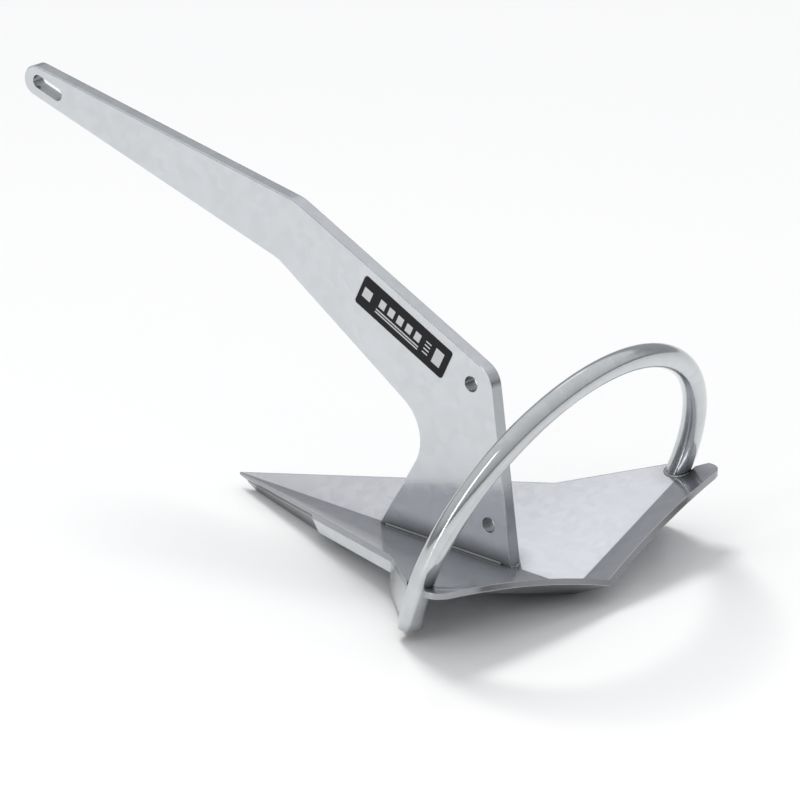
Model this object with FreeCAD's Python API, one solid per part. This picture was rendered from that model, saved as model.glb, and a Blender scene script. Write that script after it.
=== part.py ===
import FreeCAD, Part
import math
import os

from FreeCAD import Vector

# Roll-bar scoop anchor, welded from flat plate and one bent tube.
# Millimetres, +Z up. The tip of the fluke points to -X, the roll bar is at +X, and the
# shank's faces look along +Y and -Y. The plane Y = 0 is the plane of symmetry.
# The origin is under the middle of the overall length, on the surface that the anchor
# stands on. It stands on the flat of the toe weight and on the back end of the fold.
# "Station" means the distance along X behind the tip, and "rise" the height above the
# plate's upper surface at the tip.

# ---- Driving dimensions ----

# Fluke plate: one plate, folded along the middle, with a turned-up trailing lip
PLATE = 6.0
WING_SLOPE = math.radians(16.1)
FOLD_FALL = math.radians(1.08)
LEADING_ANGLE = math.radians(22.05)
SHOULDER_STATION = 308.0
HIP_STATION = 396.0
HIP_Y = 202.5
LIP_BEND_STATION = 436.4
LIP_BEND_SWEEP = math.radians(6.4)
LIP_FREE_STATION = 478.0
LIP_FREE_SWEEP = math.radians(8.1)
LIP_RISE = 20.4
LIP_TWIST_Y = 126.0
LIP_TWIST_RISE = 16.4
LIP_FLAT_Y = 222.0
NOTCH_BACK = (418.0, 203.5)
LOBE_Y = 200.4
LOBE_RADIUS = 17.0
LOBE_START = math.radians(100.0)
BEVEL = 3.5

# Toe weight: solid wedge under the tip
TOE_START = 12.0
TOE_END = 149.0
TOE_FLAT_SHARE = 0.77
TOE_INSET = 3.0

# Shank: flat plate, cut to outline
SHANK_T = 15.0
HEAD_STATION = -267.9
HEAD_RISE = 359.6
HEAD_RADIUS = 15.9
TOP_BEND = (83.5, 309.8, 50.0)
HEEL_CORNER = (334.9, 189.0, 26.0)
HEEL_BASE = (362.8, -12.0)
FOOT_BASE = (188.5, -10.0)
THROAT_CORNER = (261.0, 111.8, 46.0)
LOWER_BEND = (60.4, 244.1, 40.0)
SHANK_EDGE_ROUND = 1.2

# Shackle slot and the two round holes in the shank
SLOT_WIDTH = 14.0
SLOT_TRAVEL = 27.0
SLOT_ANGLE = math.radians(-17.0)
SLOT_FRONT = (-264.5, 359.6)
HOLE_DIAMETER = 16.0
UPPER_HOLE = (310.4, 173.5)
LOWER_HOLE = (333.4, 32.1)

# Roll bar: bent tube, one arc, leaning back
BAR_OD = 24.0
BAR_WALL = 3.0
BAR_ARC_RADIUS = 196.0
BAR_LEAN = math.radians(22.4)
BAR_CENTRE_STATION = 409.5
BAR_CENTRE_RISE = 53.3
BAR_END_ANGLE = math.radians(26.0)
BAR_FOOT_Z = 11.0

# Skid plates under the outer edges
SKID_T = 5.0
SKID_DEPTH = 18.0
SKID_START = 151.0
SKID_NOSE = 15.0
REAR_SKID_FRONT_Z = 7.7
REAR_SKID_BACK_Z = 12.0

# Welds
WELD_LEG = 3.0
WELD_END_GAP = 12.0
BAR_WELD_LEG = 2.5

# Label plate
LABEL_T = 0.6
LABEL_CENTRE = (224.4, 212.0)
LABEL_LENGTH = 124.0
LABEL_HEIGHT = 33.5
LABEL_CORNER = 3.0
LABEL_ANGLE = math.radians(-26.2)

# ---- Values that follow from them ----

BAR_TOP_STATION = BAR_CENTRE_STATION + BAR_ARC_RADIUS * math.sin(BAR_LEAN)
FRONT_REACH = HEAD_RADIUS - HEAD_STATION
REAR_REACH = BAR_TOP_STATION + BAR_OD / 2
TIP_X = (FRONT_REACH - REAR_REACH) / 2

SLOPE = math.tan(WING_SLOPE)
FALL = math.tan(FOLD_FALL)
PLATE_DROP = PLATE * math.sqrt(1 + SLOPE ** 2 + FALL ** 2)
TIP_Z = FALL * LIP_BEND_STATION + PLATE_DROP
SHOULDER_Y = SHOULDER_STATION * math.tan(LEADING_ANGLE)
BAR_CROSSING_ANGLE = math.radians(-1.4)
BAR_FOOT_ANGLE = math.radians(-18.0)
MARGIN = 60.0
FAR = 900.0


def at(station, y, z):
    return Vector(TIP_X + station, y, z)


def mirrored(shape):
    return shape.mirror(Vector(0, 0, 0), Vector(0, 1, 0))


def prism(points, direction):
    """Solid made by pushing a closed flat polygon along a direction."""
    wire = Part.makePolygon(points + [points[0]])
    return Part.Face(wire).extrude(direction)


def rounded_edges(corners):
    """Lines and tangent arcs through (u, v, radius) corners of an open path."""
    edges = []
    here = Vector(corners[0][0], corners[0][1], 0)
    for before, corner, after in zip(corners, corners[1:], corners[2:]):
        point = Vector(corner[0], corner[1], 0)
        back = (Vector(before[0], before[1], 0) - point).normalize()
        on = (Vector(after[0], after[1], 0) - point).normalize()
        radius = corner[2]
        if radius == 0:
            edges.append(Part.makeLine(here, point))
            here = point
            continue
        half = back.getAngle(on) / 2
        reach = radius / math.tan(half)
        start = point + back * reach
        end = point + on * reach
        inward = (back + on).normalize()
        middle = point + inward * (radius / math.sin(half) - radius)
        edges.append(Part.makeLine(here, start))
        edges.append(Part.Arc(start, middle, end).toShape())
        here = end
    last = Vector(corners[-1][0], corners[-1][1], 0)
    edges.append(Part.makeLine(here, last))
    return edges


def upright_plate(edges, thickness):
    """Plate drawn as (station, rise) and stood up in the XZ plane, centred on Y = 0."""
    face = Part.Face(Part.Wire(edges))
    solid = face.extrude(Vector(0, 0, thickness))
    solid.rotate(Vector(0, 0, 0), Vector(1, 0, 0), 90)
    solid.translate(Vector(TIP_X, thickness / 2, TIP_Z))
    return solid


# ---- Surfaces of the folded fluke plate ----

def wing_z(station, y):
    """Height of the plate's upper surface. The fold falls a little towards the back."""
    return TIP_Z - FALL * station + SLOPE * abs(y)


def wing_rise(direction):
    """Rise of the +Y wing's surface along a level vector."""
    return SLOPE * direction.y - FALL * direction.x


def on_wing(point, depth):
    """The point moved to a depth below the wing's upper surface."""
    return Vector(point.x, point.y, wing_z(point.x - TIP_X, point.y) - depth)


def wing_band(bottom, top):
    """Slab between two heights measured from one wing's upper surface, on the +Y side."""
    fold = wing_z(-FAR, 0)
    edge = wing_z(-FAR, FAR)
    points = [
        at(-FAR, 0, fold + bottom),
        at(-FAR, FAR, edge + bottom),
        at(-FAR, FAR, edge + top),
        at(-FAR, 0, fold + top),
    ]
    return prism(points, Vector(2 * FAR, 0, -2 * FAR * FALL))


def above_fluke():
    """Everything above the fluke plate's upper surface."""
    half = wing_band(0, FAR)
    return half.fuse(mirrored(half))


def below_wing():
    """Everything below one wing, on the +Y side."""
    return wing_band(-FAR, -PLATE_DROP)


def column(points):
    """Upright column over a polygon of (station, y) points."""
    return prism([at(s, y, -MARGIN) for s, y in points], Vector(0, 0, FAR))


def bend_station(y):
    return LIP_BEND_STATION - y * math.tan(LIP_BEND_SWEEP)


def free_station(y):
    return LIP_FREE_STATION - y * math.tan(LIP_FREE_SWEEP)


# ---- Roll bar ----

def bar_point(angle):
    """Point on the bar's centre line; the angle is 0 level with the centre, on +Y."""
    up = BAR_ARC_RADIUS * math.sin(angle)
    station = BAR_CENTRE_STATION + up * math.sin(BAR_LEAN)
    z = TIP_Z + BAR_CENTRE_RISE + up * math.cos(BAR_LEAN)
    return at(station, BAR_ARC_RADIUS * math.cos(angle), z)


def bar_rod(radius):
    """Solid round bar along the roll bar's arc, with both feet cut level."""
    first = bar_point(-BAR_END_ANGLE)
    top = bar_point(math.pi / 2)
    last = bar_point(math.pi + BAR_END_ANGLE)
    path = Part.Arc(first, top, last).toShape()
    tangent = path.tangentAt(path.FirstParameter)
    section = Part.Wire(Part.makeCircle(radius, first, tangent))
    rod = Part.Wire(path).makePipeShell([section], True, False)
    below_feet = Part.makeBox(2 * FAR, 2 * FAR, FAR, Vector(-FAR, -FAR, BAR_FOOT_Z - FAR))
    return rod.cut(below_feet)


def roll_bar():
    outer = bar_rod(BAR_OD / 2)
    return outer.cut(bar_rod(BAR_OD / 2 - BAR_WALL))


# ---- Fluke plate ----

def lip_section(y, rise):
    """Section of the trailing lip at one Y, from the bend to the square-cut free edge."""
    bend = bend_station(y)
    free = free_station(y)
    crest = wing_z(free, y) + rise
    lean = math.atan2(crest - wing_z(bend, y), free - bend)
    depth = PLATE * math.sqrt(1 + SLOPE ** 2)
    points = [
        at(bend, y, wing_z(bend, y)),
        at(free, y, crest),
        at(free + depth * math.sin(lean), y, crest - depth * math.cos(lean)),
        at(bend, y, wing_z(bend, y) - PLATE_DROP),
    ]
    return Part.makePolygon(points + [points[0]])


def wing_column():
    """Column over the plan of one half, ending in the round lobe behind the bar."""
    hip = Vector(HIP_STATION, HIP_Y, 0)
    notch_back = Vector(NOTCH_BACK[0], NOTCH_BACK[1], 0)
    reach_back = free_station(LOBE_Y) - LOBE_RADIUS / math.cos(LIP_FREE_SWEEP)
    centre = Vector(reach_back, LOBE_Y, 0)
    start = centre + Vector(math.cos(LOBE_START), math.sin(LOBE_START), 0) * LOBE_RADIUS
    square = Vector(math.cos(LIP_FREE_SWEEP), math.sin(LIP_FREE_SWEEP), 0)
    middle = centre + ((start - centre).normalize() + square).normalize() * LOBE_RADIUS
    back = centre + square * LOBE_RADIUS
    rear = Vector(LIP_BEND_STATION + 2 * MARGIN, back.y, 0)
    tip = Vector(0, 0, 0)
    shoulder = Vector(SHOULDER_STATION, SHOULDER_Y, 0)
    outline = [
        Part.makeLine(tip, shoulder),
        Part.makeLine(shoulder, hip),
        Part.makeLine(hip, notch_back),
        Part.makeLine(notch_back, start),
        Part.Arc(start, middle, back).toShape(),
        Part.makeLine(back, rear),
        Part.makeLine(rear, Vector(rear.x, 0, 0)),
        Part.makeLine(Vector(rear.x, 0, 0), tip),
    ]
    face = Part.Face(Part.Wire(outline))
    face.translate(Vector(TIP_X, 0, -MARGIN))
    return face.extrude(Vector(0, 0, FAR))


def leading_direction():
    """Direction of the leading edge, rising with the wing."""
    level = Vector(math.cos(LEADING_ANGLE), math.sin(LEADING_ANGLE), 0)
    return level + Vector(0, 0, wing_rise(level))


def edge_bevel():
    """Wedge that bevels the underside of the leading edge, from the tip to the skid."""
    outward = Vector(-math.sin(LEADING_ANGLE), math.cos(LEADING_ANGLE), 0)
    along = leading_direction()
    down = Vector(0, 0, -MARGIN)
    lower_edge = at(0, 0, TIP_Z - PLATE_DROP)
    on_side = lower_edge + Vector(0, 0, BEVEL)
    on_underside = lower_edge - (outward + Vector(0, 0, wing_rise(outward))) * BEVEL
    clear = on_side + outward * MARGIN
    length = SKID_START / math.cos(LEADING_ANGLE)
    section = [on_side, clear, clear + down, on_underside + down, on_underside]
    wedge = prism(section, along * (length + MARGIN))
    wedge.translate(along * -MARGIN)
    return wedge


def bar_notch():
    """Open notch in the wing's outer edge that takes the roll bar."""
    crossing = bar_point(BAR_CROSSING_ANGLE)
    half = BAR_OD / 2 / math.cos(BAR_LEAN)
    mouth = Part.makeBox(2 * half, MARGIN, FAR, Vector(crossing.x - half, crossing.y, -MARGIN))
    return mouth.fuse(bar_rod(BAR_OD / 2))


def fluke_half():
    far_bend = (bend_station(LIP_FLAT_Y), LIP_FLAT_Y)
    ahead_of_bend = column([(0, 0), (0, LIP_FLAT_Y), far_bend, (LIP_BEND_STATION, 0)])
    wing = wing_band(-PLATE_DROP, 0).common(ahead_of_bend)
    rises = ((0, LIP_RISE), (LIP_TWIST_Y, LIP_TWIST_RISE), (LIP_FLAT_Y, 0))
    lip = Part.makeLoft([lip_section(y, rise) for y, rise in rises], True, False)
    half = wing.fuse(lip).common(wing_column())
    return half.cut(edge_bevel()).cut(bar_notch())


def fluke_plate():
    half = fluke_half()
    return half.fuse(mirrored(half)).removeSplitter()


# ---- Toe weight ----

def toe_weight():
    """Wedge with a flat sole and undercut sides, fitted into the fold under the tip."""
    edge = TOE_END * math.tan(LEADING_ANGLE) - TOE_INSET / math.cos(LEADING_ANGLE)
    back = [
        at(TOE_END, 0, 0),
        at(TOE_END, edge * TOE_FLAT_SHARE, 0),
        at(TOE_END, edge, wing_z(TOE_END, edge) - PLATE_DROP),
        at(TOE_END, 0, wing_z(TOE_END, 0) - PLATE_DROP),
    ]
    length = TOE_END / math.cos(LEADING_ANGLE)
    quarter = Part.makeBox(TOE_END - TOE_START, FAR, FAR, at(TOE_START, 0, 0))
    half = prism(back, leading_direction() * -length).common(quarter)
    return half.fuse(mirrored(half)).removeSplitter()


# ---- Shank ----

def tangent_point(corner, centre, radius, side):
    """Where a line from a corner touches a circle; side is +1 or -1."""
    span = Vector(centre[0] - corner[0], centre[1] - corner[1], 0)
    reach = math.sqrt(span.Length ** 2 - radius ** 2)
    heading = math.atan2(span.y, span.x) + side * math.asin(radius / span.Length)
    return (corner[0] + reach * math.cos(heading), corner[1] + reach * math.sin(heading), 0)


def shank_outline():
    head = (HEAD_STATION, HEAD_RISE)
    top = tangent_point(TOP_BEND, head, HEAD_RADIUS, -1)
    bottom = tangent_point(LOWER_BEND, head, HEAD_RADIUS, 1)
    corners = [
        top,
        TOP_BEND,
        HEEL_CORNER,
        HEEL_BASE + (0,),
        FOOT_BASE + (0,),
        THROAT_CORNER,
        LOWER_BEND,
        bottom,
    ]
    edges = rounded_edges(corners)
    nose = Vector(HEAD_STATION - HEAD_RADIUS, HEAD_RISE, 0)
    edges.append(Part.Arc(Vector(*bottom), nose, Vector(*top)).toShape())
    return edges


def slot_cutter():
    """Round-ended slot for the shackle, right through the shank."""
    radius = SLOT_WIDTH / 2
    front = at(SLOT_FRONT[0], -SHANK_T, TIP_Z + SLOT_FRONT[1])
    travel = Vector(math.cos(SLOT_ANGLE), 0, math.sin(SLOT_ANGLE)) * SLOT_TRAVEL
    side = Vector(-math.sin(SLOT_ANGLE), 0, math.cos(SLOT_ANGLE)) * radius
    through = Vector(0, 2 * SHANK_T, 0)
    middle = prism([front + side, front + travel + side, front + travel - side, front - side], through)
    ends = [
        Part.makeCylinder(radius, 2 * SHANK_T, front, Vector(0, 1, 0)),
        Part.makeCylinder(radius, 2 * SHANK_T, front + travel, Vector(0, 1, 0)),
    ]
    return middle.multiFuse(ends).removeSplitter()


def hole_cutter(place):
    base = at(place[0], -SHANK_T, TIP_Z + place[1])
    return Part.makeCylinder(HOLE_DIAMETER / 2, 2 * SHANK_T, base, Vector(0, 1, 0))


def shank():
    plate = upright_plate(shank_outline(), SHANK_T)
    clear = TIP_Z + WELD_LEG
    rims = []
    for edge in plate.Edges:
        box = edge.BoundBox
        if box.YLength < 0.01 and box.ZMax > clear:
            rims.append(edge)
    plate = plate.makeFillet(SHANK_EDGE_ROUND, rims)
    cutters = [slot_cutter(), hole_cutter(UPPER_HOLE), hole_cutter(LOWER_HOLE)]
    return plate.cut(cutters).common(above_fluke())


# ---- Skid plates ----

def front_skid_line():
    """Start, end, direction and inward normal of the leading edge that has the skid."""
    along = Vector(math.cos(LEADING_ANGLE), math.sin(LEADING_ANGLE), 0)
    start = at(SKID_START, SKID_START * math.tan(LEADING_ANGLE), 0)
    end = at(SHOULDER_STATION, SHOULDER_Y, 0)
    return start, end, along, Vector(along.y, -along.x, 0)


def rear_skid_line():
    """Start, end, direction and inward normal of the edge from the shoulder to the hip."""
    start = at(SHOULDER_STATION, SHOULDER_Y, 0)
    end = at(HIP_STATION, HIP_Y, 0)
    along = (end - start).normalize()
    return start, end, along, Vector(along.y, -along.x, 0)


def raised(point, height):
    return Vector(point.x, point.y, height)


def skid_front():
    """Strip under the leading edge, from the toe weight back to the shoulder."""
    start, end, along, inward = front_skid_line()
    nose = start + along * SKID_NOSE
    face = [
        on_wing(start, 0),
        on_wing(start, PLATE_DROP),
        on_wing(nose, SKID_DEPTH),
        on_wing(end, SKID_DEPTH),
        on_wing(end, 0),
    ]
    return prism(face, inward * SKID_T).common(below_wing())


def skid_rear():
    """Deeper plate under the edge behind the shoulder, down to the foot of the bar."""
    start, end, along, inward = rear_skid_line()
    foot_reach = (bar_point(BAR_FOOT_ANGLE) - start).dot(along)
    face = [
        raised(start, REAR_SKID_FRONT_Z),
        raised(start + along * foot_reach, REAR_SKID_BACK_Z),
        on_wing(end, 0),
        on_wing(start, 0),
    ]
    plate = prism(face, inward * SKID_T).common(below_wing())
    plate = plate.cut([skid_front(), bar_rod(BAR_OD / 2)])
    return max(plate.Solids, key=lambda piece: piece.Volume)


# ---- Welds ----

def fillet_bead(corner, leg_one, leg_two, run):
    """Bead of a three-sided section: a corner and two legs, pushed along a run."""
    return prism([corner, corner + leg_one, corner + leg_two], run)


def shank_weld():
    """Bead between the shank's +Y face and the wing."""
    y = SHANK_T / 2
    first = on_wing(at(FOOT_BASE[0] + WELD_END_GAP, y, 0), 0)
    last = on_wing(at(HEEL_BASE[0] - WELD_END_GAP, y, 0), 0)
    out = Vector(0, math.cos(WING_SLOPE), math.sin(WING_SLOPE))
    return fillet_bead(first, Vector(0, 0, WELD_LEG), out * WELD_LEG, last - first)


def shank_weld_heel():
    """Bead across the back edge of the shank, down in the fold."""
    corner = on_wing(at(HEEL_BASE[0] - WELD_LEG, 0, 0), 0) - Vector(0, SHANK_T / 2, 0)
    back = Vector(2 * WELD_LEG, 0, 0)
    up = Vector(0, 0, 2 * WELD_LEG)
    bead = fillet_bead(corner, back, up, Vector(0, SHANK_T, 0))
    return bead.common(above_fluke()).cut(upright_plate(shank_outline(), SHANK_T))


def bar_weld():
    """Collar between the bar and the wing's upper surface, on the inboard side."""
    crossing = bar_point(BAR_CROSSING_ANGLE)
    ring = bar_rod(BAR_OD / 2 + BAR_WELD_LEG).common(wing_band(0, BAR_WELD_LEG))
    corner = Vector(crossing.x - MARGIN, crossing.y - MARGIN, 0)
    ring = ring.common(Part.makeBox(2 * MARGIN, MARGIN, FAR, corner))
    bead = ring.cut([bar_rod(BAR_OD / 2), fluke_half()])
    return max(bead.Solids, key=lambda piece: piece.Volume)


def skid_weld(line):
    """Bead in the corner between a skid's inner face and the wing's underside."""
    start, end, along, inward = line
    first = start + inward * SKID_T + along * WELD_END_GAP
    last = end + inward * SKID_T - along * WELD_END_GAP
    corner = on_wing(first, PLATE_DROP)
    run = on_wing(last, PLATE_DROP) - corner
    inboard = (inward + Vector(0, 0, wing_rise(inward))) * WELD_LEG
    return fillet_bead(corner, Vector(0, 0, -WELD_LEG), inboard, run)


def toe_weld():
    """Bead across the back of the toe weight, under one wing."""
    reach = TOE_END * math.tan(LEADING_ANGLE) - WELD_END_GAP
    corner = on_wing(at(TOE_END, 0, 0), PLATE_DROP)
    run = Vector(0, reach, SLOPE * reach)
    back = Vector(WELD_LEG, 0, -FALL * WELD_LEG)
    return fillet_bead(corner, Vector(0, 0, -WELD_LEG), back, run)


# ---- Label plate ----

def label_plate():
    """Thin plain plate stuck on the shank's -Y face, with rounded corners."""
    half_l = LABEL_LENGTH / 2
    half_h = LABEL_HEIGHT / 2
    corners = [
        (0, -half_h, 0),
        (half_l, -half_h, LABEL_CORNER),
        (half_l, half_h, LABEL_CORNER),
        (-half_l, half_h, LABEL_CORNER),
        (-half_l, -half_h, LABEL_CORNER),
        (0, -half_h, 0),
    ]
    solid = upright_plate(rounded_edges(corners), LABEL_T)
    pivot = at(0, 0, TIP_Z)
    solid.rotate(pivot, Vector(0, 1, 0), -math.degrees(LABEL_ANGLE))
    solid.translate(Vector(LABEL_CENTRE[0], -(SHANK_T + LABEL_T) / 2, LABEL_CENTRE[1]))
    return solid


# ---- Assembly ----

def build_parts():
    parts = {
        "shank": shank(),
        "fluke_plate": fluke_plate(),
        "toe_weight": toe_weight(),
        "roll_bar": roll_bar(),
        "label_plate": label_plate(),
        "shank_weld_heel": shank_weld_heel(),
    }
    pairs = {
        "skid_front": skid_front(),
        "skid_rear": skid_rear(),
        "shank_weld": shank_weld(),
        "roll_bar_weld": bar_weld(),
        "skid_front_weld": skid_weld(front_skid_line()),
        "skid_rear_weld": skid_weld(rear_skid_line()),
        "toe_weld": toe_weld(),
    }
    for name, shape in pairs.items():
        parts[name + "_left"] = mirrored(shape)
        parts[name + "_right"] = shape
    return parts


os.makedirs("parts", exist_ok=True)
for name, shape in build_parts().items():
    shape.exportStep("parts/" + name + ".step")
    box = shape.BoundBox
    print(name, len(shape.Solids), shape.isValid(), round(shape.Volume), box)
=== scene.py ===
import math

import bpy
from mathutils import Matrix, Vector


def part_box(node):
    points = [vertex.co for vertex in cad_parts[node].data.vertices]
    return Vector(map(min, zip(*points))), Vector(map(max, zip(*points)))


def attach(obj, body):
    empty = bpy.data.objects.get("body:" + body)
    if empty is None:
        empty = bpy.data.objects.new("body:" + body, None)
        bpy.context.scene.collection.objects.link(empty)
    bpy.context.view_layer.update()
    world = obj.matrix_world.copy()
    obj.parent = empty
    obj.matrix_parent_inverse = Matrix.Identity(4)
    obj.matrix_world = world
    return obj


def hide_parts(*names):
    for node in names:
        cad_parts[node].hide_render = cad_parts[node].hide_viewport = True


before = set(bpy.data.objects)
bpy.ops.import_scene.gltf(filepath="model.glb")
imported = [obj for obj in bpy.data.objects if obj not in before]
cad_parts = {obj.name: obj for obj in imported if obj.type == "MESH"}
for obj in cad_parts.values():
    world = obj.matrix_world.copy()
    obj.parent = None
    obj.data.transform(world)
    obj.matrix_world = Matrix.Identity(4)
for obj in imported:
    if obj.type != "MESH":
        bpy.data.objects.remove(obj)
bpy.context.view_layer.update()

# Looks of the roll-bar scoop anchor. Metres, in the imported model's own frame.
# The steel has one satin zinc-grey coat, glossier on the bent tube. Its colour carries painted
# shade:
# a darker grey on the fluke and the tube, darker cut and end faces, and darker hollows; its edges
# are brightened, partly as rubbed wear and partly as a painted highlight. The weld beads are
# modelled with their ripples, and each stands for the plain bead of the imported model.

# ---- Camera ----

VIEW_TURN = math.radians(40.7)
VIEW_DROP = math.radians(20.9)
VIEW_DISTANCE = 6.128
VIEW_LIMIT = 100.0
AIM = Vector((0.107, 0.0, 0.1452))
SENSOR = 36.0
LENS = 281.0


def view_direction():
    flat = math.cos(VIEW_DROP)
    return Vector((-math.sin(VIEW_TURN) * flat, math.cos(VIEW_TURN) * flat, -math.sin(VIEW_DROP)))


def look_along(obj, direction):
    obj.rotation_euler = direction.to_track_quat("-Z", "Y").to_euler()


def add_camera():
    """Long lens behind the anchor's -Y side, looking a little down."""
    data = bpy.data.cameras.new("camera")
    camera = bpy.data.objects.new("camera", data)
    bpy.context.scene.collection.objects.link(camera)
    data.sensor_width = SENSOR
    data.lens = LENS
    data.clip_end = VIEW_LIMIT
    camera.location = AIM - view_direction() * VIEW_DISTANCE
    look_along(camera, view_direction())
    bpy.context.scene.camera = camera


# ---- Shader node helpers ----

def new_material(name):
    material = bpy.data.materials.new(name)
    material.use_nodes = True
    return material, material.node_tree, material.node_tree.nodes["Principled BSDF"]


def feed(tree, socket, value):
    """Link a node's output to a socket, or set the socket to a plain value."""
    if isinstance(value, bpy.types.NodeSocket):
        tree.links.new(value, socket)
    else:
        socket.default_value = value


def node(tree, kind, settings=None, **inputs):
    """New node: settings go on the node itself, inputs on its sockets, as values or links."""
    made = tree.nodes.new(kind)
    for key, value in (settings or {}).items():
        setattr(made, key, value)
    for key, value in inputs.items():
        feed(tree, made.inputs[key.replace("_", " ")], value)
    return made


def math_node(tree, operation, first, second=0.0):
    made = node(tree, "ShaderNodeMath", {"operation": operation})
    feed(tree, made.inputs[0], first)
    feed(tree, made.inputs[1], second)
    return made.outputs[0]


def vector_math(tree, operation, first, second):
    made = node(tree, "ShaderNodeVectorMath", {"operation": operation})
    feed(tree, made.inputs[0], first)
    feed(tree, made.inputs[1], second)
    return made


def facing(tree, first, second):
    """How far two directions agree, from 1 for the same to -1 for opposite."""
    return vector_math(tree, "DOT_PRODUCT", first, second).outputs["Value"]


def product(tree, first, *others):
    for other in others:
        first = math_node(tree, "MULTIPLY", first, other)
    return first


def remap(tree, value, low, high):
    """A 0 to 1 value stretched to run from low to high."""
    made = node(tree, "ShaderNodeMapRange", Value=value, To_Min=low, To_Max=high)
    return made.outputs["Result"]


def vary(tree, pattern, middle, reach):
    """A 0 to 1 pattern as a number that moves by reach either side of middle."""
    return remap(tree, pattern, middle - reach, middle + reach)


def step(tree, value, start, end, kind="LINEAR"):
    """0 at start and before, 1 at end and beyond."""
    made = node(tree, "ShaderNodeMapRange", {"interpolation_type": kind},
                Value=value, From_Min=start, From_Max=end)
    return made.outputs["Result"]


def mix_color(tree, factor, first, second, blend="MIX"):
    made = node(tree, "ShaderNodeMix", {"data_type": "RGBA", "blend_type": blend})
    for index, value in ((0, factor), (6, first), (7, second)):
        feed(tree, made.inputs[index], value)
    return made.outputs[2]


def noise(tree, place, scale, detail):
    made = node(tree, "ShaderNodeTexNoise", Vector=place, Scale=scale, Detail=detail)
    return made.outputs["Fac"]


def bump(tree, surface, height, strength, depth, normal=None):
    made = node(tree, "ShaderNodeBump", Height=height, Strength=strength, Distance=depth)
    if normal:
        feed(tree, made.inputs["Normal"], normal)
    feed(tree, surface.inputs["Normal"], made.outputs[0])


# ---- Zinc coat ----

PLATE_GREY = (0.62, 0.64, 0.66, 1.0)
# Painted shade: the fluke and the tube are darker than the plates, standing in for the darker
# reflections they show, and the fluke is a little bluer, a painted tint of its reflections
FLUKE_SHADED_GREY = (0.56, 0.57, 0.60, 1.0)
TUBE_SHADED_GREY = (0.56, 0.58, 0.59, 1.0)
BEAD_GREY = (0.43, 0.44, 0.45, 1.0)
# Edge colours: rubbed wear on the edges, and partly a painted highlight as well
WORN_AND_HIGHLIT_EDGE = (0.80, 0.81, 0.82, 1.0)
BEAD_WORN_AND_HIGHLIT_EDGE = (0.46, 0.47, 0.48, 1.0)
COAT_METALLIC = 0.92

# Patterns of the coat: how many to the metre, and how far each moves the shade and the
# roughness either way
WARP_SCALE = 60.0
WARP_REACH = 0.010
SPANGLE_SCALE = 95.0
SPANGLE_SHADE = 0.035
SPANGLE_ROUGH = 0.015
CLOUD_SCALE = 9.0
CLOUD_SHADE = 0.025
CLOUD_ROUGH = 0.015
STREAK_SCALE = (14.0, 60.0, 90.0)
STREAK_SHADE = 0.025
GRAIN_SCALE = 1400.0
GRAIN_SHADE = 0.03
GRAIN_ROUGH = 0.02
PEEL_SCALE = 260.0

# Relief of the coat: the peel, with a share of the grain on it
GRAIN_RELIEF = 0.25
RELIEF_STRENGTH = 0.05
RELIEF_DEPTH = 0.0006

# An edge is brightened, partly as rubbed wear and partly as a painted highlight, where its rounded
# normal agrees less than EDGE_START with the plain one, and at least by EDGE_LEAST where the peel
# is lowest
EDGE_RADIUS = 0.0012
EDGE_START = 0.995
EDGE_FULL = 0.80
EDGE_LEAST = 0.2

# Painted shade in the depth of a hollow, and how far off the faces are that make one
HOLLOW_REACH = 0.022
HOLLOW_PAINTED_SHADE = 0.05

RAY_SAMPLES = 6

# Cut faces and end faces get painted shade. How far a face agrees with the plate's axis where it
# starts to be a cut face and where it is one, and with X where it starts to be an end face and
# where it is one
CUT_START = 0.80
CUT_FULL = 0.60
END_START = 0.60
END_FULL = 0.85


def zinc_spangle(tree, place):
    """Crystals of the zinc: cells with wavy borders, each with its own level."""
    warp = node(tree, "ShaderNodeTexNoise", Vector=place, Scale=WARP_SCALE, Detail=2.0)
    shift = node(tree, "ShaderNodeVectorMath", {"operation": "SCALE"}, Scale=WARP_REACH)
    feed(tree, shift.inputs[0], warp.outputs["Color"])
    warped = vector_math(tree, "ADD", place, shift.outputs[0]).outputs[0]
    cells = node(tree, "ShaderNodeTexVoronoi", Vector=warped, Scale=SPANGLE_SCALE)
    return node(tree, "ShaderNodeSeparateColor", Color=cells.outputs["Color"]).outputs["Red"]


def worn_and_highlit_edge(tree, rounded, peel):
    """1 where an edge is brightened, partly as rubbed wear and partly as a painted highlight, and
    patchy with the peel.
    """
    plain = node(tree, "ShaderNodeNewGeometry").outputs["Normal"]
    edge = step(tree, facing(tree, rounded, plain), EDGE_START, EDGE_FULL)
    return product(tree, edge, remap(tree, peel, EDGE_LEAST, 1.0))


def painted_face_shade(tree, axis, start, end, shade):
    """Painted shade of a flat face: from 1 to shade as it turns from start to end towards an axis.
    """
    flat = node(tree, "ShaderNodeNewGeometry").outputs["True Normal"]
    along = math_node(tree, "ABSOLUTE", facing(tree, flat, axis))
    return remap(tree, step(tree, along, start, end, "SMOOTHSTEP"), 1.0, shade)


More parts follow.
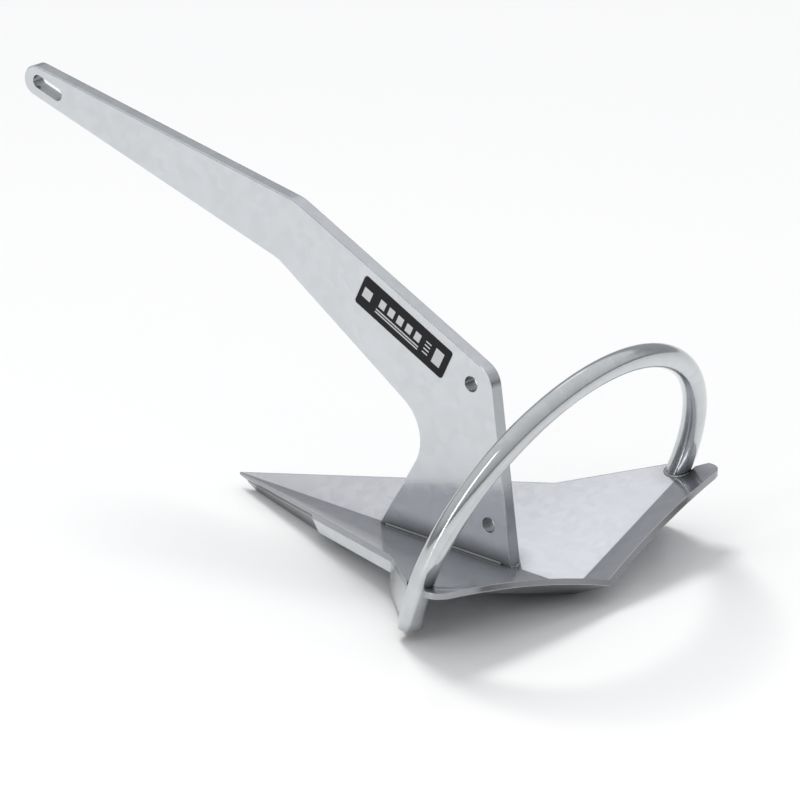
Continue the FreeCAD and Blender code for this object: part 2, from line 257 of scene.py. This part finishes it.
def zinc_coat(name, color, roughness, edge_color=WORN_AND_HIGHLIT_EDGE,
              plate_axis=None, cut_painted_shade=1.0, end_painted_shade=1.0):
    """Sprayed zinc-grey coat: faint spangle, fine grain, edges brightened partly as rubbed wear
    and partly as a painted highlight, and painted shade in hollows.

    Faces turned away from plate_axis are the plate's cut faces, which are darkened with painted
    shade by the given cut shade, and by the given end shade as well where they face along X.
    """
    material, tree, surface = new_material(name)
    place = node(tree, "ShaderNodeTexCoord").outputs["Object"]
    spangle = zinc_spangle(tree, place)
    clouds = noise(tree, place, CLOUD_SCALE, detail=5.0)
    drawn_out = node(tree, "ShaderNodeMapping", Vector=place, Scale=STREAK_SCALE).outputs[0]
    streaks = noise(tree, drawn_out, scale=1.0, detail=3.0)
    grain = noise(tree, place, GRAIN_SCALE, detail=2.0)
    peel = noise(tree, place, PEEL_SCALE, detail=3.0)
    rounded = node(tree, "ShaderNodeBevel", {"samples": RAY_SAMPLES}, Radius=EDGE_RADIUS)
    # Painted shade: ambient occlusion darkens the colour in holes, the slot and the corners at the
    # welds
    hollow = node(tree, "ShaderNodeAmbientOcclusion", {"samples": RAY_SAMPLES},
                  Distance=HOLLOW_REACH)

    shades = [
        vary(tree, spangle, 1.0, SPANGLE_SHADE),
        vary(tree, clouds, 1.0, CLOUD_SHADE),
        vary(tree, streaks, 1.0, STREAK_SHADE),
        vary(tree, grain, 1.0, GRAIN_SHADE),
        remap(tree, hollow.outputs["AO"], HOLLOW_PAINTED_SHADE, 1.0),
    ]
    if plate_axis:
        # Painted shade on the cut faces, and on the end faces that face along X
        shades.append(painted_face_shade(tree, plate_axis, CUT_START, CUT_FULL, cut_painted_shade))
        shades.append(painted_face_shade(tree, (1.0, 0.0, 0.0), END_START, END_FULL, end_painted_shade))
    shade = product(tree, *shades)
    grey = node(tree, "ShaderNodeCombineColor", Red=shade, Green=shade, Blue=shade).outputs[0]
    coat = mix_color(tree, 1.0, color, grey, "MULTIPLY")
    edge = worn_and_highlit_edge(tree, rounded.outputs[0], peel)
    feed(tree, surface.inputs["Base Color"], mix_color(tree, edge, coat, edge_color))

    rough = math_node(tree, "ADD", vary(tree, clouds, roughness, CLOUD_ROUGH),
                      vary(tree, spangle, 0.0, SPANGLE_ROUGH))
    rough = math_node(tree, "ADD", rough, vary(tree, grain, 0.0, GRAIN_ROUGH))
    feed(tree, surface.inputs["Roughness"], rough)
    surface.inputs["Metallic"].default_value = COAT_METALLIC

    relief = math_node(tree, "ADD", peel, product(tree, grain, GRAIN_RELIEF))
    bump(tree, surface, relief, RELIEF_STRENGTH, RELIEF_DEPTH, rounded.outputs[0])
    return material


# ---- Label ----

LABEL_CENTRE = Vector((0.11821, 0.0, 0.22650))
LABEL_ANGLE = math.radians(-26.2)
PRINT_EDGE = 0.0003

# The print, as centres and half sizes along and across the label
SMALL_BLOCK = ((-0.0515, 0.0), (0.0055, 0.0055))
LARGE_BLOCK = ((0.049, 0.0), (0.0055, 0.0085))
UPPER_LINE = ((-0.006, -0.0062), (0.030, 0.0006))
LOWER_LINE = ((-0.006, -0.0092), (0.030, 0.0006))
ROW_BLOCKS = 5
ROW_START = (-0.031, 0.0026)
ROW_PITCH = 0.0125
ROW_HALF = (0.0038, 0.0046)
STACK_BARS = 4
STACK_START = (0.0335, 0.0062)
STACK_PITCH = 0.0042
STACK_HALF = (0.0035, 0.0006)

FILM_DARK = (0.008, 0.008, 0.010, 1.0)
FILM_LIGHT = (0.022, 0.022, 0.024, 1.0)
FILM_SPECULAR = 0.15
FILM_ROUGH = (0.32, 0.5)
PRINT_COLOR = (0.74, 0.75, 0.76, 1.0)
PRINT_LEAST = 0.75
SPECK_SCALE = 900.0
SPECK_STRENGTH = 0.08
SPECK_DEPTH = 0.0003


def printed_shapes():
    shapes = [SMALL_BLOCK, UPPER_LINE, LOWER_LINE]
    for column in range(ROW_BLOCKS):
        shapes.append(((ROW_START[0] + ROW_PITCH * column, ROW_START[1]), ROW_HALF))
    for row in range(STACK_BARS):
        shapes.append(((STACK_START[0], STACK_START[1] - STACK_PITCH * row), STACK_HALF))
    return shapes + [LARGE_BLOCK]


def slab(tree, value, centre, half):
    """1 where a coordinate is within half of centre, with a thin soft edge."""
    away = math_node(tree, "ABSOLUTE", math_node(tree, "SUBTRACT", value, centre))
    return step(tree, away, half + PRINT_EDGE, half)


def label_film():
    """Black film printed with plain light blocks and thin lines."""
    material, tree, surface = new_material("label_film")
    place = node(tree, "ShaderNodeTexCoord").outputs["Object"]
    turned = node(tree, "ShaderNodeVectorRotate", {"rotation_type": "Y_AXIS"}, Vector=place,
                  Center=LABEL_CENTRE, Angle=LABEL_ANGLE)
    local = node(tree, "ShaderNodeSeparateXYZ", Vector=turned.outputs[0])
    along = math_node(tree, "SUBTRACT", local.outputs["X"], LABEL_CENTRE.x)
    across = math_node(tree, "SUBTRACT", local.outputs["Z"], LABEL_CENTRE.z)

    ink = 0.0
    for centre, half in printed_shapes():
        shape = product(tree, slab(tree, along, centre[0], half[0]),
                        slab(tree, across, centre[1], half[1]))
        ink = math_node(tree, "MAXIMUM", ink, shape)
    speck = noise(tree, place, SPECK_SCALE, detail=3.0)
    ink = product(tree, ink, remap(tree, speck, PRINT_LEAST, 1.0))
    film = mix_color(tree, speck, FILM_DARK, FILM_LIGHT)
    feed(tree, surface.inputs["Base Color"], mix_color(tree, ink, film, PRINT_COLOR))
    feed(tree, surface.inputs["Roughness"], remap(tree, speck, *FILM_ROUGH))
    surface.inputs["Specular IOR Level"].default_value = FILM_SPECULAR
    bump(tree, surface, speck, SPECK_STRENGTH, SPECK_DEPTH)
    return material


# ---- Weld beads ----

BEAD_STEP = 0.0006
BEAD_SECTION = 8
BEAD_SHARE = 0.72
BEAD_END_SIZE = 0.35
RIPPLE_PITCH = 0.0034
RIPPLE_DEPTH = 0.16
RIPPLE_BOW = 0.35
RIPPLE_POWER = 0.6
SAME_POINT = 1e-5


def bead_mesh(name, corners, legs_up, legs_out):
    """Rippled fillet bead along a line of corners, between two legs given at each corner."""
    vertices = []
    travelled = 0.0
    lengths = [0.0]
    for here, there in zip(corners, corners[1:]):
        travelled += (there - here).length
        lengths.append(travelled)
    for corner, up, out, gone in zip(corners, legs_up, legs_out, lengths):
        left = min(gone, travelled - gone) / up.length
        size = BEAD_END_SIZE + (1.0 - BEAD_END_SIZE) * math.sqrt(min(1.0, left))
        vertices.append(corner)
        for index in range(BEAD_SECTION + 1):
            turn = math.pi / 2 * index / BEAD_SECTION
            bow = RIPPLE_BOW * math.sin(2 * turn)
            wave = 0.5 + 0.5 * math.cos(2 * math.pi * (gone / RIPPLE_PITCH + bow))
            swell = size * (1.0 - RIPPLE_DEPTH * math.sin(2 * turn) * (1.0 - wave ** RIPPLE_POWER))
            vertices.append(corner + (out * math.cos(turn) + up * math.sin(turn)) * swell)
    ring = BEAD_SECTION + 2
    faces = []
    for row in range(len(corners) - 1):
        for index in range(ring):
            first = row * ring + index
            second = row * ring + (index + 1) % ring
            faces.append((first, second, second + ring, first + ring))
    faces.append(tuple(range(ring)))
    faces.append(tuple(range((len(corners) - 1) * ring, len(corners) * ring)))
    mesh = bpy.data.meshes.new(name)
    mesh.from_pydata(vertices, [], faces)
    mesh.validate()
    for face in mesh.polygons:
        face.use_smooth = True
    return mesh


def add_bead(cad_name, corners, legs_up, legs_out, material):
    name = cad_name + "_bead"
    piece = bpy.data.objects.new(name, bead_mesh(name, corners, legs_up, legs_out))
    bpy.context.scene.collection.objects.link(piece)
    piece.data.materials.append(material)
    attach(piece, "root")
    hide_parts(cad_name)


def spread(first, last):
    """Evenly spaced points from first to last, one bead step apart."""
    count = max(2, round((last - first).length / BEAD_STEP))
    return [first.lerp(last, index / count) for index in range(count + 1)]


def distinct_points(mesh):
    found = []
    for vertex in mesh.vertices:
        if all((vertex.co - other).length > SAME_POINT for other in found):
            found.append(vertex.co.copy())
    return found


def corner_and_legs(triangle):
    """The corner facing the longest side of a triangle, and its two legs, upper one first."""
    sides = [(triangle[1] - triangle[2]).length, (triangle[2] - triangle[0]).length,
             (triangle[0] - triangle[1]).length]
    index = sides.index(max(sides))
    corner = triangle[index]
    others = [point for point in triangle if point is not corner]
    others.sort(key=lambda point: point.z - corner.z, reverse=True)
    return corner, others[0] - corner, others[1] - corner


def straight_bead(cad_name, material):
    """Bead in place of a plain three-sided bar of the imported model."""
    points = distinct_points(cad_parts[cad_name].data)
    axis = max((b - a for a in points for b in points), key=lambda span: span.length).normalized()
    points.sort(key=lambda point: point.dot(axis))
    first, leg_up, leg_out = corner_and_legs(points[:3])
    last = corner_and_legs(points[3:])[0]
    corners = spread(first, last)
    legs_up = [leg_up * BEAD_SHARE] * len(corners)
    legs_out = [leg_out * BEAD_SHARE] * len(corners)
    add_bead(cad_name, corners, legs_up, legs_out, material)


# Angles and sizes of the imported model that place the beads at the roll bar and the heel
WING_SLOPE = math.tan(math.radians(16.1))
FOLD_FALL = math.tan(math.radians(1.08))
BAR_LEAN = math.radians(22.4)
BAR_RADIUS = 0.012
CAD_RING_LEG = 0.0025
RING_LEG = 0.0018
HEEL_SHARE_OUT = 0.4
HEEL_SHARE_UP = 0.35


def ring_bead(cad_name, side, material):
    """Bead round the inboard half of the roll bar, where it passes through the wing."""
    low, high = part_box(cad_name)
    outboard = high[1] if side > 0 else low[1]
    inboard = abs(outboard) - BAR_RADIUS - CAD_RING_LEG
    middle = Vector(((low[0] + high[0]) / 2, outboard, 0.0))
    middle.z = low[2] + WING_SLOPE * (abs(outboard) - inboard)
    across = Vector((math.cos(BAR_LEAN), 0.0, -math.sin(BAR_LEAN)))
    inward = Vector((0.0, -side, 0.0))
    axis = Vector((math.sin(BAR_LEAN), 0.0, math.cos(BAR_LEAN)))
    wing_normal = Vector((FOLD_FALL, -side * WING_SLOPE, 1.0)).normalized()
    corners = []
    legs_out = []
    count = round(math.pi * BAR_RADIUS / BEAD_STEP)
    for index in range(count + 1):
        turn = math.pi * index / count
        spoke = across * math.cos(turn) + inward * math.sin(turn)
        climb = -wing_normal.dot(spoke) / wing_normal.dot(axis)
        reach = spoke + axis * climb
        corners.append(middle + reach * BAR_RADIUS)
        legs_out.append(reach.normalized() * RING_LEG)
    add_bead(cad_name, corners, [axis * RING_LEG] * len(corners), legs_out, material)


def heel_bead(cad_name, material):
    """Bead across the back edge of the shank, following the fold below it."""
    low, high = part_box(cad_name)
    half = (high[1] - low[1]) / 2
    leg_out = Vector(((high[0] - low[0]) * HEEL_SHARE_OUT, 0.0, 0.0))
    leg_up = Vector((0.0, 0.0, (high[2] - low[2]) * HEEL_SHARE_UP))
    corners = []
    for point in spread(Vector((low[0], low[1], low[2])), Vector((low[0], high[1], low[2]))):
        corners.append(point + Vector((0.0, 0.0, WING_SLOPE * abs(point.y) * half / high[1])))
    add_bead(cad_name, corners, [leg_up] * len(corners), [leg_out] * len(corners), material)


# ---- Light and floor ----

FLOOR_COLOR = (0.92, 0.92, 0.92, 1.0)
FLOOR_ROUGHNESS = 0.30
FLOOR_HALF = 40.0

# Brightness of the studio surround by the height of the direction, 0 level and 1 overhead
SURROUND = ((0.0, 0.10), (0.06, 0.24), (0.22, 0.72), (0.60, 0.90), (1.0, 1.0))
SURROUND_TINT = (0.99, 0.995, 1.01)

# A dark wall stands on this side, soft at its ends and along its top
DARK_WALL = (-0.42, 0.91, 0.0)
DARK_WALL_COLOR = (0.36, 0.37, 0.39, 1.0)
DARK_WALL_ENDS = (0.45, 0.80)
DARK_WALL_TOP = (0.62, 0.48)

# The whole surround is dimmer towards this side
DIM_SIDE = (0.65, -0.76, 0.0)
DIM_STRENGTH = 0.72
FULL_STRENGTH = 1.02


def add_light(name, kind, direction, power, color):
    """Light aimed back along a direction that points to it."""
    data = bpy.data.lights.new(name, kind)
    data.energy = power
    data.color = color
    light = bpy.data.objects.new(name, data)
    bpy.context.scene.collection.objects.link(light)
    look_along(light, -Vector(direction))
    return light


def add_softbox(name, target, direction, distance, width, height, power, color):
    """Flat area light at a distance along a direction from a target, aimed back at it."""
    light = add_light(name, "AREA", direction, power, color)
    light.location = Vector(target) + Vector(direction).normalized() * distance
    light.visible_camera = False
    light.data.shape = "RECTANGLE"
    light.data.size = width
    light.data.size_y = height


def add_sun(direction, strength, spread_angle, color):
    light = add_light("key_sun", "SUN", direction, strength, color)
    light.visible_glossy = False
    light.data.angle = spread_angle


def add_floor():
    corners = [(-FLOOR_HALF, -FLOOR_HALF, 0), (FLOOR_HALF, -FLOOR_HALF, 0),
               (FLOOR_HALF, FLOOR_HALF, 0), (-FLOOR_HALF, FLOOR_HALF, 0)]
    mesh = bpy.data.meshes.new("floor")
    mesh.from_pydata(corners, [], [(0, 1, 2, 3)])
    floor = bpy.data.objects.new("floor", mesh)
    bpy.context.scene.collection.objects.link(floor)
    material, tree, surface = new_material("floor_white")
    surface.inputs["Base Color"].default_value = FLOOR_COLOR
    surface.inputs["Roughness"].default_value = FLOOR_ROUGHNESS
    floor.data.materials.append(material)


def add_world():
    """Studio surround: bright ceiling, dim skirting, and a dark wall on the far side."""
    world = bpy.data.worlds.new("studio")
    bpy.context.scene.world = world
    world.use_nodes = True
    tree = world.node_tree
    background = tree.nodes["Background"]
    where = node(tree, "ShaderNodeTexCoord").outputs["Generated"]
    height = node(tree, "ShaderNodeSeparateXYZ", Vector=where).outputs["Z"]
    ramp = node(tree, "ShaderNodeValToRGB", Fac=height)
    stops = ramp.color_ramp.elements
    while len(stops) < len(SURROUND):
        stops.new(0.5)
    for stop, (position, level) in zip(stops, SURROUND):
        stop.position = position
        stop.color = [level * tint for tint in SURROUND_TINT] + [1.0]
    wall = step(tree, facing(tree, where, DARK_WALL), *DARK_WALL_ENDS, "SMOOTHSTEP")
    dark = product(tree, wall, step(tree, height, *DARK_WALL_TOP, "SMOOTHSTEP"))
    color = mix_color(tree, dark, ramp.outputs["Color"], DARK_WALL_COLOR)
    feed(tree, background.inputs["Color"], color)
    strength = node(tree, "ShaderNodeMapRange", Value=facing(tree, where, DIM_SIDE),
                    From_Min=-1.0, From_Max=1.0, To_Min=FULL_STRENGTH, To_Max=DIM_STRENGTH)
    feed(tree, background.inputs["Strength"], strength.outputs["Result"])


# ---- Put together ----

bpy.context.scene.view_settings.view_transform = "Standard"
add_camera()
add_floor()
add_world()
add_sun(direction=(-0.53, 0.31, 0.79), strength=1.60, spread_angle=math.radians(18.0),
        color=(1.0, 0.995, 0.98))
# Tall narrow box, which draws the bright line along the near leg of the roll bar
add_softbox("strip_softbox", target=(0.32, -0.19, 0.10), direction=(-0.07, -0.91, 0.42),
            distance=2.6, width=0.22, height=2.7, power=10.0, color=(1.0, 1.0, 1.0))
# Small square box, which brightens the near wing
add_softbox("wing_softbox", target=(0.52, -0.14, 0.03), direction=(-0.589, 0.403, 0.70),
            distance=2.0, width=0.45, height=0.45, power=0.30, color=(0.97, 0.98, 1.0))

coats = {
    # Painted shade on the shank's cut and end faces and on the fluke's cut faces
    "shank": zinc_coat("zinc_shank", PLATE_GREY, 0.19,
                       plate_axis=(0.0, 1.0, 0.0), cut_painted_shade=0.90, end_painted_shade=0.78),
    "fluke_plate": zinc_coat("zinc_fluke", FLUKE_SHADED_GREY, 0.17,
                             plate_axis=(0.0, 0.0, 1.0), cut_painted_shade=0.62),
    "roll_bar": zinc_coat("zinc_tube", TUBE_SHADED_GREY, 0.13),
    "label_plate": label_film(),
}
plate_coat = zinc_coat("zinc_steel", PLATE_GREY, 0.21)
bead_coat = zinc_coat("zinc_weld", BEAD_GREY, 0.28, BEAD_WORN_AND_HIGHLIT_EDGE)
for name, cad_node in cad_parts.items():
    cad_node.data.materials.clear()
    cad_node.data.materials.append(bead_coat if "weld" in name else coats.get(name, plate_coat))

heel_bead("shank_weld_heel", bead_coat)
for side_name, side in (("left", -1), ("right", 1)):
    ring_bead("roll_bar_weld_" + side_name, side, bead_coat)
    for run in ("shank_weld_", "skid_front_weld_", "skid_rear_weld_", "toe_weld_"):
        straight_bead(run + side_name, bead_coat)
